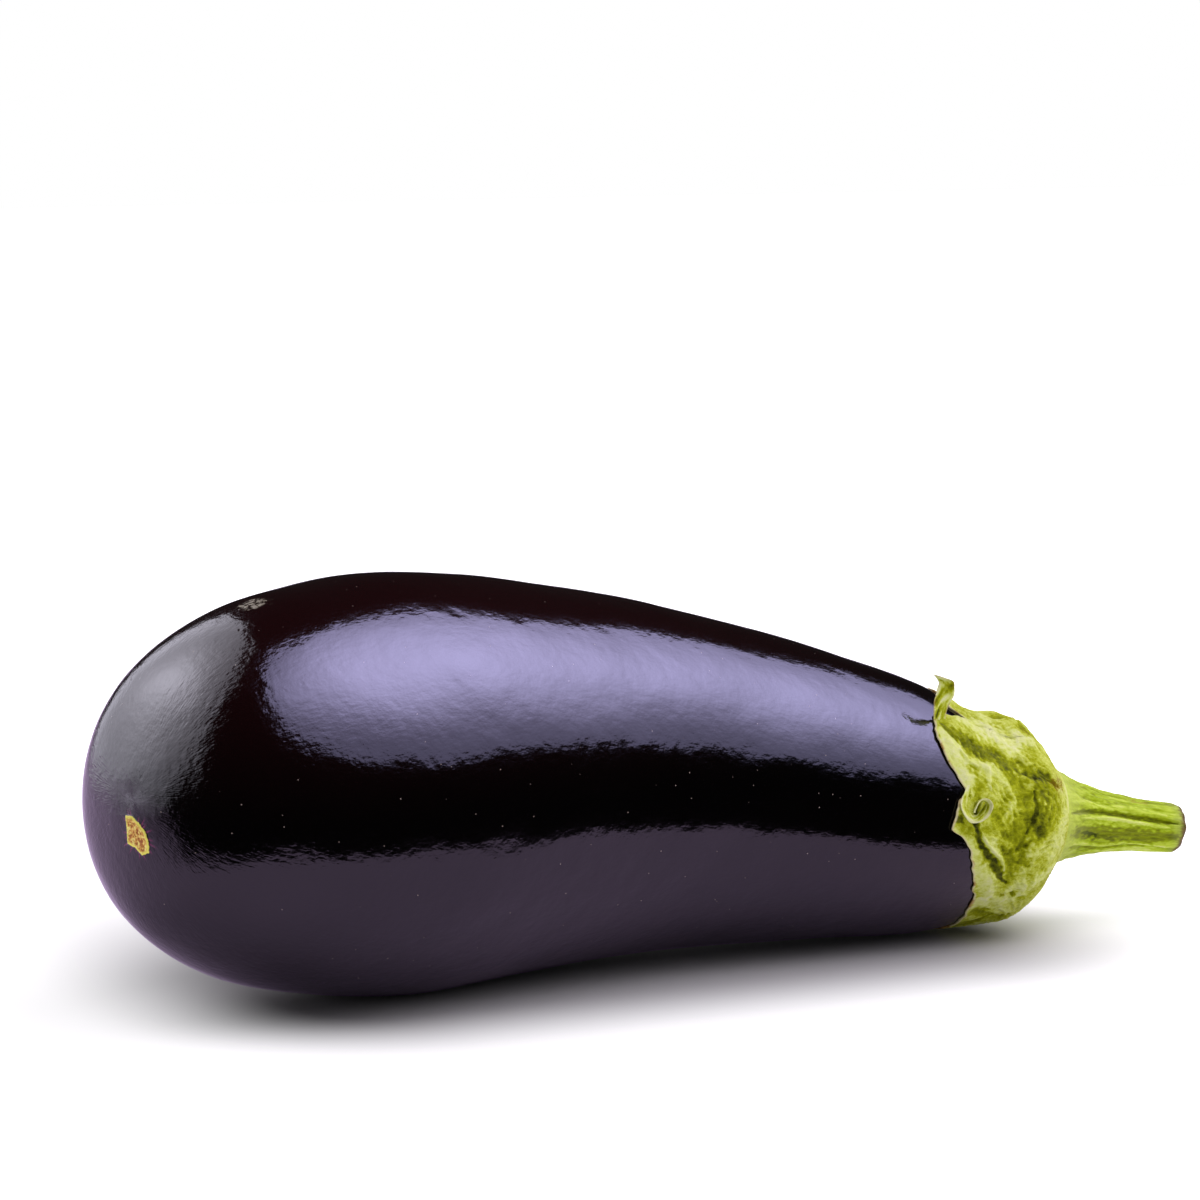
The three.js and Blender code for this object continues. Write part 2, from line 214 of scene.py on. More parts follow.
class Wire:  # a socket's value that Python arithmetic works on: each operator adds a Math node
    def __init__(self, finish, socket):
        self.finish = finish
        self.socket = socket

    def __add__(self, other):
        return self.finish.maths("ADD", self, other)

    def __mul__(self, other):
        return self.finish.maths("MULTIPLY", self, other)

    def __sub__(self, other):
        return self.finish.maths("SUBTRACT", self, other)

    def __rsub__(self, other):
        return self.finish.maths("SUBTRACT", other, self)

    def __pow__(self, other):
        return self.finish.maths("POWER", self, other)

    __radd__ = __add__
    __rmul__ = __mul__


class Finish:  # the nodes of one material, or of the world, with its shader and the shader's constants
    def __init__(self, owner, shader="Principled BSDF", **constants):
        owner.use_nodes = True
        self.owner = owner
        self.tree = owner.node_tree
        self.shader = self.tree.nodes[shader]
        self.give(**constants)

    def feed(self, socket, value):
        if isinstance(value, Wire):
            self.tree.links.new(value.socket, socket)
        else:
            socket.default_value = value

    def give(self, **sockets):
        for socket, value in sockets.items():
            self.feed(self.shader.inputs[socket.replace("_", " ")], value)
        return self.owner

    def node(self, kind, settings, sockets, output=0):
        node = self.tree.nodes.new(kind)
        stops = settings.pop("stops", None)
        for name, value in settings.items():
            setattr(node, name, value)
        if stops:
            while len(node.color_ramp.elements) < len(stops):
                node.color_ramp.elements.new(0.5)
            for element, (place, colour) in zip(node.color_ramp.elements, stops):
                element.position = place
                element.color = colour
        for socket, value in sockets.items():
            self.feed(node.inputs[socket], value)
        return Wire(self, node.outputs[output])

    def scaled(self, vector, factor):
        return self.node("ShaderNodeVectorMath", {"operation": "SCALE"}, {0: vector, "Scale": factor})

    def millimetres(self):  # Object coordinates in millimetres
        return self.scaled(self.node("ShaderNodeTexCoord", {}, {}, "Object"), 1 / metre)

    def attribute(self, name, output="Fac"):
        return self.node("ShaderNodeAttribute", {"attribute_name": name}, {}, output)

    def maths(self, operation, *values):
        return self.node("ShaderNodeMath", {"operation": operation}, dict(enumerate(values)))

    def vector(self, operation, first, second, output=0):
        return self.node("ShaderNodeVectorMath", {"operation": operation}, {0: first, 1: second}, output)

    def stretched(self, vector, x, y, z):
        return self.vector("MULTIPLY", vector, (x, y, z))

    def noise(self, vector, size, detail=2.0, rough=0.5):  # size in mm
        sockets = {"Vector": vector, "Scale": 1 / size, "Detail": detail, "Roughness": rough}
        return self.node("ShaderNodeTexNoise", {}, sockets)

    def cells(self, vector, size):  # distance to the nearest of scattered points, in cell sizes
        return self.node("ShaderNodeTexVoronoi", {"feature": "F1"}, {"Vector": vector, "Scale": 1 / size})

    def between(self, value, low, high):  # a smooth step from 0 at low to 1 at high
        sockets = {0: value, 1: low, 2: high}
        return self.node("ShaderNodeMapRange", {"interpolation_type": "SMOOTHSTEP"}, sockets)

    def mix(self, factor, a, b):
        return self.node("ShaderNodeMix", {"data_type": "RGBA"}, {0: factor, 6: a, 7: b}, 2)

    def ramp(self, value, stops):
        return self.node("ShaderNodeValToRGB", {"stops": stops}, {0: value})

    def bump(self, height):  # height in millimetres
        sockets = {"Strength": 1.0, "Distance": metre, "Height": height}
        self.give(Normal=self.node("ShaderNodeBump", {}, sockets))


def paint(red, green, blue):  # a colour as it looks on a screen, 0 to 255, in the shader's own scale
    c = np.array([red, green, blue]) / 255
    linear = np.where(c <= 0.04045, c / 12.92, ((c + 0.055) / 1.055) ** 2.4)
    return (*linear.tolist(), 1.0)


# Fruit

fruit = {
    "stations": [
        (0, 0), (1.5, 10.6), (6, 23.0), (14, 31.2), (26, 37.2), (42, 41.0), (62, 43.1), (85, 42.1),
        (110, 39.4), (135, 36.1), (160, 32.7), (180, 29.7), (192, 27.5), (201, 25.1), (208, 22.5),
        (214, 19.2), (218.5, 14.0), (221, 7.5), (221.8, 0),
    ],
    "columns": 400,
    "ringSpacing": [  # (run over the skin, spacing)
        (0, 0.25), (18, 0.25), (28, 1.3), (232, 1.3), (245, 3.0),
    ],
    "leans": [(0.004, 2, 1.0), (0.003, 3, -1.5)],  # share of the radius, lobes, their turn per mm
    "leansFull": 30.0,  # s
    "flattened": (0.006, 140.0, 190.0),  # share of the radius off the neck's underside, from s to s
    "undulations": [(46, 0.10), (21, 0.06), (9, 0.018), (5, 0.008)],  # wave length and height
    "undulates": [(4.0, 16.0), (205.0, 193.0)],  # s where they start, and end, and where they are full
    "scar": [  # corky blossom scar, (towards the viewer, up) from the end of the line
        (-2.3, -3.2), (-0.1, -3.1), (1.9, -4.2), (3.8, -5.9), (4.5, -8.2), (4.2, -9.8), (2.2, -10.7),
        (0.3, -9.3), (-2.0, -8.8), (-1.9, -5.8),
    ],
    "scarWithin": 8.0,  # s
    "farFromScar": -9.0,  # what stands for any greater distance outside the scar
    "scarRise": 0.22,
    "scarGrain": 0.10,
    "rays": 17,  # fine lines that run out from the scar
    "rayLength": (0.9, 2.6),
    "rayWidth": 0.13,
    "restHeight": 0.02,
    "growthScale": 40.0,  # radius at which the skin's growth pattern has its true width
    "healedAt": (29.3, 0.0),
    "healedRadius": 3.6,
    "waist": [  # (s, depth) of the dip under the calyx, deepest above
        (183, 0), (189, 0.32), (192, 0.67), (195, 1.24), (198, 1.79), (201, 2.01), (204, 1.6), (207, 1.33),
        (210, 0.95), (213, 0.6), (216, 0.38), (219, 0.67), (222, 1.25), (225, 1.07), (226, 0.4),
    ],
    "waistTurn": 6.0,
    "waistHidden": (216.0, 212.0),  # under the calyx it is gone at the first s and full at the second
}


def outOfRound(s, angle):
    lean = sum(share * np.cos(np.radians(lobes * angle + twist * s))
               for share, lobes, twist in fruit["leans"])
    under = np.maximum(0, -np.cos(np.radians(angle))) ** 4
    off, first, last = fruit["flattened"]
    return 1 + lean * between(s, 0, fruit["leansFull"]) - off * under * between(s, first, last)


def waistAt(s, angle):
    first, last = fruit["waist"][0][0], fruit["waist"][-1][0]
    above = np.maximum(0, np.cos(np.radians(angle - fruit["waistTurn"]))) ** 6
    return through(fruit["waist"], np.clip(s, first, last)) * above


def skinRadius(s, angle):
    return radiusOf(fruit["stations"], s) * outOfRound(s, angle) - waistAt(s, angle)


def ownRadius(s, angle, r):  # the skin's radius where the profile's is r, also under the calyx
    gone, full = fruit["waistHidden"]
    return r * outOfRound(s, angle) - waistAt(s, angle) * between(s, gone, full)


def ringPlaces():  # places on the profile, close together round the scar, and the run over the skin to each
    t = np.linspace(0, len(fruit["stations"]) - 1, 8001)
    steps = np.linalg.norm(np.diff(profile(fruit["stations"], t), axis=0), axis=1)
    run = np.concatenate([[0], np.cumsum(steps)])
    spacing = np.interp(run, *np.array(fruit["ringSpacing"]).T)
    count = np.concatenate([[0], np.cumsum(np.diff(run) / spacing[1:])])
    wanted = np.arange(0.5, count[-1] - 0.3)
    return np.interp(wanted, count, t)[:, None], np.interp(wanted, count, run)[:, None]


def insideScar(wide, high):  # distance in from the scar's outline, less than 0 outside it
    outline = fruit["scar"]
    nearest = np.full(wide.shape, np.inf)
    crossings = np.zeros(wide.shape, int)
    for (x0, y0), (x1, y1) in zip(outline, outline[1:] + outline[:1]):
        across, up = x1 - x0, y1 - y0
        share = np.clip(((wide - x0) * across + (high - y0) * up) / (across ** 2 + up ** 2), 0, 1)
        nearest = np.minimum(nearest, np.hypot(wide - x0 - share * across, high - y0 - share * up))
        rises = (y0 > high) != (y1 > high)
        crossings += rises & (wide < x0 + (high - y0) * across / (up + (up == 0)))
    return np.where(crossings % 2 == 1, nearest, -nearest)


def scarRays(wide, high):  # thin lines out from the scar's middle, each fading to its own length
    random = np.random.default_rng(11)
    middle = np.mean(fruit["scar"], axis=0)
    outline = insideScar(wide, high)
    rays = 0 * wide
    count = fruit["rays"]
    for turn in (np.arange(count) + random.uniform(-0.35, 0.35, count)) * 2 * np.pi / count:
        length = random.uniform(*fruit["rayLength"])
        out = (wide - middle[0]) * np.cos(turn) + (high - middle[1]) * np.sin(turn)
        aside = (high - middle[1]) * np.cos(turn) - (wide - middle[0]) * np.sin(turn)
        line = np.exp(-(aside / fruit["rayWidth"]) ** 2) * (out > 0)
        rays = np.maximum(rays, line * smoothStep(1 + outline / length) * (outline < 0.2))
    return rays


def buildFruit():
    t, run = ringPlaces()
    angle = np.arange(fruit["columns"])[None] * 360 / fruit["columns"]
    s, r = np.moveaxis(profile(fruit["stations"], t), -1, 0)
    s = s + 0 * angle
    r = np.maximum(0, ownRadius(s, angle, r))
    turn = np.radians(angle)
    points = around(s, r, angle)
    along, front, up = directions(s)
    out = np.cos(turn)[..., None] * up + np.sin(turn)[..., None] * front
    relief = sum(height * waves(points, length, int(length)) for length, height in fruit["undulations"])
    for edge, full in fruit["undulates"]:
        relief = relief * between(s, edge, full)
    wide, high = r * np.sin(turn), r * np.cos(turn)
    near = s < fruit["scarWithin"]
    inside = np.where(near, insideScar(wide, high), fruit["farFromScar"])
    cork = fruit["scarRise"] * smoothStep(inside / 0.5 + 0.4) * (1 - 0.6 * smoothStep((inside - 0.5) / 1.2))
    cork = cork + fruit["scarGrain"] * wrinkles(points, 0.9, 40) * smoothStep(inside / 0.4)
    points = points + out * relief[..., None] - along * cork[..., None]
    points[..., 2] = np.maximum(points[..., 2], fruit["restHeight"])  # pressed flat where it rests
    piece = closedMesh("fruitSkin", pointOnLine(0), points, pointOnLine(fruit["stations"][-1][0]))
    tagPlace(piece, "grown", straightened(run + 0 * angle, fruit["growthScale"], angle))
    tag(piece, "scar", inside, (inside[0].mean(), fruit["farFromScar"]))
    tag(piece, "ray", np.where(near, scarRays(wide, high), 0))
    return piece


fruitPiece = buildFruit()
print("fruit", len(fruitPiece.data.polygons), "faces")

# Calyx

calyx = {
    "gap": 0.04,
    "thickness": 0.95,
    "edgeThickness": 0.30,
    "thickens": 7.0,  # distance in from the margin over which it reaches its full thickness
    "restHeight": 0.05,
    "crownSeat": 226.0,
    "crownRadius": 11.45,
    "stations": [
        (180, 30.9), (188, 29.3), (196, 27.5), (204, 24.9), (209, 23.6), (214, 22.9), (219, 19.8),
        (223, 15.3), (225, 12.7), (226, 11.5),
    ],
    "margin": [  # (angle, s)
        (-66, 203.6), (-56, 200.5), (-47, 194), (-38, 189.5), (-27, 192.5), (-16, 195), (-5, 193),
        (5, 191.8), (12, 191.4), (20, 191.4), (26, 192), (27, 194), (28.2, 196.2), (30, 197), (32, 196.8),
        (33.4, 195.4), (34.2, 191.5), (35.6, 188), (38.5, 185.9), (42, 185.4), (47, 185.2), (54, 186),
        (60, 187.2), (66, 189.8), (70, 191.4), (72.5, 192.6), (77, 191), (83, 190), (88, 189.6),
        (90, 189.8), (93, 192.8), (98, 195.5), (105, 197.3),
        (115, 199), (129, 201.2), (144, 201.8), (156, 201.9), (168, 201.4), (182, 200),
        (196, 199), (205, 197.6), (213, 195.2), (220, 199), (228, 203.6), (237, 201), (249, 194),
        (260, 188.6), (270, 192.4), (283, 200.4), (294, 203.6),
    ],
    "marginWaves": [(6.0, 0.12), (2.4, 0.10), (1.1, 0.06)],
    "lifts": [  # lobes that stand off the skin: angle, spread, height, reach in from the margin
        (52, 15, 0.35, 8), (86, 9, 0.3, 6), (-38, 11, 0.5, 8), (260, 16, 1.2, 9),
    ],
    "marks": [  # tone from -1, pale, to 1.4, nearly black, sunk marks darker as painted shade in the creases and raised ones paler as painted highlight, over the lobes' own olive and pale colour; rise; half width; path of (s, angle)
        (0.95, -1.0, 1.6, [
            (187.2, 43), (190.5, 47.5), (195.5, 51), (202, 51.5), (208.5, 54), (214.5, 57.5), (221, 57.5),
        ]),
        (0.65, -0.3, 3.8, [(205, 58), (210, 64), (212, 72), (210, 84), (207, 96), (208, 110)]),
        (0.5, -0.1, 3.0, [(214, 62), (217.5, 70), (216, 82), (213, 94)]),
        (1.4, -0.6, 0.5, [(194.6, 82.5), (195.4, 80), (196.4, 77)]),
        (1.0, -0.45, 0.6, [(212.6, 69), (212.6, 76), (211.8, 84), (210.8, 90)]),
        (0.7, -0.3, 1.2, [(210.5, 92), (209.5, 101), (211, 107)]),
        (1.7, -1.2, 0.85, [
            (193.5, 83), (195.8, 87), (198.2, 93), (200.8, 99), (203, 106), (205.4, 112), (207.8, 118),
        ]),
        (1.1, -0.25, 0.5, [(205.8, 125), (206.6, 126.5)]),
        (1.1, -0.25, 0.6, [(208.8, 126), (210.2, 127.5)]),
        (0.7, -0.4, 1.6, [(203.5, 137), (205.5, 143), (209, 150)]),
        (0.4, -0.15, 1.4, [(199.5, 79), (202, 84), (204.5, 89)]),
        (0.5, -0.2, 1.0, [(213.8, 88), (214.5, 94), (212, 99)]),
        (0.6, -0.2, 0.9, [(215.5, 12), (216.3, 20), (217, 28)]),
        (1.2, -0.8, 0.9, [(191.0, 84), (192.6, 86.5)]),
        (-0.8, 0.35, 2.0, [(186.2, 46), (187.8, 54), (190.5, 61.5), (193, 67.5), (194.3, 73)]),
        (-0.3, 0.25, 1.0, [(199.8, 55), (203.3, 61), (205.3, 69), (205.8, 75), (203.8, 81)]),
        (-0.6, 0.4, 0.8, [(190.5, 55), (194, 58), (198, 59.5), (198.6, 65), (199.5, 70)]),
        (-0.75, 0.5, 4.2, [(193, 36), (201, 34.5), (208.5, 34), (214, 37)]),
        (-0.6, 0.25, 1.8, [(191.2, 91), (195.5, 98), (199.5, 108), (202.3, 118), (203, 127)]),
        (-0.8, 0.45, 0.45, [(194.8, 83), (197.2, 88), (200, 93), (203, 100), (205.8, 108.5)]),
        (-0.3, 0.3, 1.2, [(209.5, 104), (213, 99), (217, 94), (221.5, 87), (224.5, 78), (225, 63)]),
        (-0.6, 0.4, 1.7, [(207.5, 123), (212, 120), (216.5, 118), (221.5, 118)]),
        (-0.35, 0, 1.5, [
            (226, 10), (226, 27), (225.2, 49), (224.8, 69), (223.5, 86), (222, 100), (223, 120),
        ]),
        (-0.5, 0.15, 0.6, [(209, 64), (212.5, 68)]),
        (-0.5, 0.2, 0.6, [(215.4, 78), (216, 83)]),
        (-0.5, 0.1, 2.2, [(202, 128), (206, 131), (211, 128)]),
        (0.7, -0.3, 0.8, [(212, 113), (213.5, 118), (213, 123)]),
        (-0.5, 0.2, 0.7, [(204.5, 93), (207.2, 100), (208.5, 104)]),
        (-0.4, 0.2, 0.8, [(202, 91), (203.2, 98)]),
    ],
    "browned": [
        (0.8, 0, 1.8, [(218.5, 59), (221, 57), (223, 52)]),
        (0.5, 0, 0.7, [(217.2, 58.5), (217.8, 61)]),
        (0.6, 0, 0.8, [(215.6, 20), (216.6, 27)]),
    ],
    "repeats": [(0, 1, 180), (300, -1, 180), (7, -1, 80)],  # marks again: angle, way round, greatest angle
    "middleOfMarks": 75.0,  # angle
    "drift": 0.4,  # how far the marks wander
    "driftWave": 9.0,
    "mottleWave": 1.6,
    "marksFade": (2.5, 3.0),  # distance in from the margin, and from the crown
    "crumplesFade": (5.0, 1.5),
    "columns": 640,
    "outerRings": 112,
    "innerRings": 14,
    "rim": 0.10,  # height of the thin ridge along the margin
    "wrinkles": [(3.6, 0.20), (1.8, 0.13)],  # wave length and height
    "swell": 0.15,
    "swellWave": 7.5,
    "crestHighlightHollowShade": 1.0,  # painted highlight and shade: how much paler a crest, and darker a hollow, is for each millimetre of height
}


def liftAt(s, angle, margin):  # sum of height exp(-(turn / spread)^2), fading over the reach
    inward = s - margin
    return sum(height * np.exp(-(turnBetween(angle, centre) / spread) ** 2) * between(inward, reach, 0)
               for centre, spread, height, reach in calyx["lifts"])


def calyxMarks(marks, s, angle, mottle):  # on the near lobes, and again turned round on the hidden ones
    perDegree = np.radians(1) * radiusOf(calyx["stations"], s)
    middle = calyx["middleOfMarks"]
    tone, height = 0 * s, 0 * s
    for start, way, greatest in calyx["repeats"]:
        chosen = [mark for mark in marks if mark[3][0][1] < greatest]
        turned = way * turnBetween(angle, start + way * middle) + middle
        moreTone, moreHeight = drawMarks(chosen, s, turned, perDegree, mottle)
        tone, height = tone + moreTone, height + moreHeight
    return tone, height


def buildCalyx():
    first, last = calyx["margin"][0][0], calyx["margin"][-1][0]
    angle = (first + (last - first) * np.arange(calyx["columns"]) / calyx["columns"])[None]
    margin = through(calyx["margin"], angle)
    hoop = straightened(0 * angle, calyx["stations"][2][1], angle)
    for length, height in calyx["marginWaves"]:
        margin = margin + height * waves(hoop, length, int(3 * length))
    share = (np.arange(calyx["outerRings"]) / (calyx["outerRings"] - 1))[:, None]
    s = margin + (calyx["crownSeat"] - margin) * share
    angle = angle + 0 * s
    inward = s - margin
    lift = liftAt(s, angle, margin)
    body = smoothStep(inward / calyx["thickens"])
    thickness = calyx["edgeThickness"] + (calyx["thickness"] - calyx["edgeThickness"]) * body
    least = np.where(s < 214, skinRadius(s, angle), 0) + calyx["gap"] + thickness
    smooth = radiusOf(calyx["stations"], s) * outOfRound(s, angle) - waistAt(s, angle)
    place = straightened(s, smooth, angle)
    driftedS = s + calyx["drift"] * waves(place, calyx["driftWave"], 50)
    driftedAngle = angle + calyx["drift"] * waves(place, calyx["driftWave"], 51) / np.radians(smooth)
    mottle = waves(place, calyx["mottleWave"], 60)
    # tone: painted shade along the sunk marks and painted highlight along the raised ones, with the lobes'
    # own colour
    tone, marked = calyxMarks(calyx["marks"], driftedS, driftedAngle, mottle)
    browned, _ = calyxMarks(calyx["browned"], driftedS, driftedAngle, mottle)
    toCrown = calyx["crownSeat"] - s
    fromMargin, fromCrown = calyx["marksFade"]
    fade = between(inward, 0, fromMargin) * between(toCrown, 0, fromCrown)
    r = least + np.maximum(smooth - least, 0) * body
    r = np.maximum(r + marked * fade, least - 0.3 * body) + lift
    fibre = place * (0.75, 1, 1)
    crumple = calyx["swell"] * waves(place, calyx["swellWave"], 70)
    for length, height in calyx["wrinkles"]:
        crumple = crumple + height * wrinkles(fibre, length, int(10 * length))
    fromMargin, fromCrown = calyx["crumplesFade"]
    crumple = crumple * (0.25 + 0.75 * between(inward, 0, fromMargin)) * between(toCrown, 0, fromCrown)
    r = r + crumple * smoothStep(inward / 0.8) + calyx["rim"] * np.exp(-((inward - 0.5) / 0.4) ** 2)
    r[-1] = calyx["crownRadius"]
    outer = around(s, r, angle)

    lastPlace = len(fruit["stations"]) - 1
    back = np.linspace(0.9, 0, calyx["innerRings"])[:, None] ** 1.3
    start = placeOf(fruit["stations"], margin)
    t = start + (lastPlace - start) * back
    innerS, innerR = np.moveaxis(profile(fruit["stations"], t), -1, 0)
    beforeS, beforeR = np.moveaxis(profile(fruit["stations"], t - 0.001), -1, 0)
    slope = np.arctan2(beforeR - innerR, innerS - beforeS)
    innerR = ownRadius(innerS, angle[:1], innerR)
    innerR = innerR + calyx["gap"] * np.cos(slope) + liftAt(innerS, angle[:1], margin)
    inner = around(innerS + calyx["gap"] * np.sin(slope), np.maximum(innerR, 0), angle[:1])

    rings = np.concatenate([inner, outer])
    rings[..., 2] = np.maximum(rings[..., 2], calyx["restHeight"])  # pressed flat where it rests
    piece = closedMesh("calyxLobes", pointOnLine(fruit["stations"][-1][0] + calyx["gap"]), rings,
                       pointOnLine(calyx["crownSeat"]))
    straight = [straightened(innerS, innerR, angle[:1]), straightened(s, r, angle)]
    tagPlace(piece, "straight", np.concatenate(straight))
    # the inner face, against the skin, gets a fixed dark tone of 0.8: painted shade under the lobes
    zero = 0 * innerS
    tag(piece, "edge", np.concatenate([innerS, s]) - margin, (40.0, 40.0))
    # the crests of the crumples get painted highlight and the hollows painted shade
    tag(piece, "tone", np.concatenate([zero + 0.8, tone - calyx["crestHighlightHollowShade"] * crumple]))
    tag(piece, "browned", np.concatenate([zero, browned]))
    return piece


calyxPiece = buildCalyx()
print("calyx", len(calyxPiece.data.polygons), "faces")

# Dried ends of the near lobes: thin bands between two edges. Each edge point is (right, up, towards
# the viewer) from a root on the neck, as seen from the viewer's side.

tips = {
    "viewer": (-28.0, 7.0),
    "twisted": {
        "root": (186.2, 39), "height": 1.2, "tone": -0.2, "brown": 0.8, "freshRim": 0.35, "paleRim": 0.6,
        "edges": [
            ((-0.8, -2.4, 0.6), (1.9, -1.8, -1.6)), ((-0.9, -0.9, 1.0), (2.0, -0.2, -1.4)),
            ((-0.95, 0.6, 1.4), (2.3, 1.1, -1.1)), ((-0.85, 2.2, 1.6), (2.8, 2.5, -0.7)),
            ((-0.5, 3.9, 1.4), (3.55, 4.0, 0.2)), ((-0.1, 5.4, 0.9), (3.65, 5.5, 1.1)),
            ((0.3, 6.6, 0.5), (3.35, 7.0, 1.6)), ((-0.1, 7.5, 0.4), (1.6, 7.75, 1.1)),
            ((-0.75, 8.35, 0.2), (-0.6, 8.45, 0.3)),
        ],
    },
    "rolled": {
        "root": (195.0, 80), "height": 0.9, "tone": -0.3, "brown": 0.2, "freshRim": 0.8, "paleRim": 1.7,
        "edges": [
            ((-1.5, 5.2, 0.2), (0.6, 4.8, -2.2)), ((-2.5, 3.3, 1.2), (0.3, 2.9, -2.0)),
            ((-3.2, 1.5, 2.2), (0.0, 1.6, -1.6)), ((-3.1, 0.0, 2.7), (-0.5, 0.3, -1.1)),
            ((-2.3, -1.5, 2.8), (-0.4, -0.9, 0.2)), ((-1.0, -2.7, 2.6), (0.1, -1.15, -0.1)),
            ((0.4, -2.75, 2.3), (0.55, -0.9, -0.4)), ((1.9, -2.0, 2.0), (1.05, -0.3, -0.8)),
            ((3.2, -0.7, 1.6), (1.8, 0.3, -1.0)), ((3.65, 0.75, 1.4), (2.15, 1.05, -1.1)),
            ((3.0, 1.85, 1.4), (2.1, 1.6, -1.1)), ((1.85, 2.15, 1.6), (1.5, 1.9, -1.0)),
            ((0.75, 1.6, 1.8), (0.65, 1.5, -0.9)), ((0.1, 0.4, 1.8), (0.0, 0.3, -0.7)),
            ((-0.3, -0.7, 1.7), (-0.3, -0.65, -0.6)),
        ],
    },
    "folded": {
        "root": (195.0, 80), "height": 0.9, "tone": -0.3, "brown": 1.6, "freshRim": 0.4, "paleRim": 0.6,
        "edges": [
            ((-3.2, 0.9, 1.9), (-2.4, 0.2, 1.0)), ((-3.9, -0.4, 1.9), (-2.3, -1.3, 0.5)),
            ((-4.5, -1.9, 1.9), (-3.3, -2.4, 0.6)), ((-4.9, -3.3, 1.8), (-4.3, -3.3, 0.9)),
            ((-5.0, -4.0, 1.5), (-4.7, -4.0, 1.1)),
        ],
    },
    "thickness": 0.34,
    "rings": 150,
    "columns": 44,
    "cup": 0.10,
    "creases": [(2.4, 0.10), (1.1, 0.05)],  # wave length and height
    # painted shade in the creases and painted highlight on their crests, for each unit of crease height
    "creaseHighlightAndShade": 5.0,
    "mottle": 0.5,
    "mottleWave": 1.5,
    "rimWidth": 0.7,
}


def direction(azimuth, elevation):  # azimuth from -Y towards +X
    a, e = np.radians(azimuth), np.radians(elevation)
    return np.array([np.sin(a) * np.cos(e), -np.cos(a) * np.cos(e), np.sin(e)])


def unit(vectors):
    return vectors / np.linalg.norm(vectors, axis=-1, keepdims=True)


def buildTip(name, spec, seed):  # centre + w half + (thickness and cup over w) across, w from edge to edge
    azimuth, elevation = tips["viewer"]
    toViewer = direction(azimuth, elevation)
    rightward = direction(azimuth + 90, 0)
    axes = np.array([rightward, np.cross(toViewer, rightward), toViewer])
    s, angle = spec["root"]
    root = around(s, skinRadius(np.array(float(s)), angle) + spec["height"], angle)
    edges = np.array(spec["edges"]) @ axes + root
    place = np.linspace(0, len(edges) - 1, tips["rings"])
    near, far = curve(edges[:, 0], place), curve(edges[:, 1], place)
    centre, half = (near + far) / 2, (near - far) / 2
    run = unit(np.gradient(centre, axis=0))
    thick = unit(np.cross(run, half))
    loop = np.arange(tips["columns"]) * 2 * np.pi / tips["columns"]
    w, over = np.cos(loop)[None], np.sin(loop)[None]
    wide = np.linalg.norm(half, axis=1)[:, None]
    taper = np.minimum(1, 0.25 + wide)
    height = np.sign(over) * np.abs(over) ** 0.6 * tips["thickness"] / 2 * taper
    height = height + wide * tips["cup"] * (w ** 2 - 0.5)
    steps = np.linalg.norm(np.diff(centre, axis=0), axis=1)
    gone = np.concatenate([[0], np.cumsum(steps)])[:, None]
    band = np.stack(np.broadcast_arrays(0.3 * gone, w * wide + 0.35 * gone, 0 * w + seed), -1)
    crease = sum(rise * wrinkles(band, length, seed) for length, rise in tips["creases"]) * taper
    rings = centre[:, None] + w[..., None] * half[:, None] + (height + crease)[..., None] * thick[:, None]
    piece = closedMesh(name, rings[0].mean(0), rings, rings[-1].mean(0))
    tagPlace(piece, "straight", rings)
    fromEdge = (1 - np.abs(w)) * wide
    nearEdge = between(fromEdge, tips["rimWidth"], 0)
    tag(piece, "edge", fromEdge + spec["freshRim"])
    mottle = tips["mottle"] * waves(band, tips["mottleWave"], seed)
    # creases are darker and their crests paler: painted shade and painted highlight, on top of the tip's
    # own tone, mottle and pale rim
    tag(piece, "tone", spec["tone"] - tips["creaseHighlightAndShade"] * crease + mottle - spec["paleRim"] * nearEdge)
    tag(piece, "browned", spec["brown"] * nearEdge * smoothStep(0.5 + waves(band, 3.0, seed + 5)))
    return piece


tipPieces = [
    buildTip("twistedTip", tips["twisted"], 3),
    buildTip("rolledTip", tips["rolled"], 7),
    buildTip("foldedTip", tips["folded"], 9),
]
print("lobe tips")

# Stem

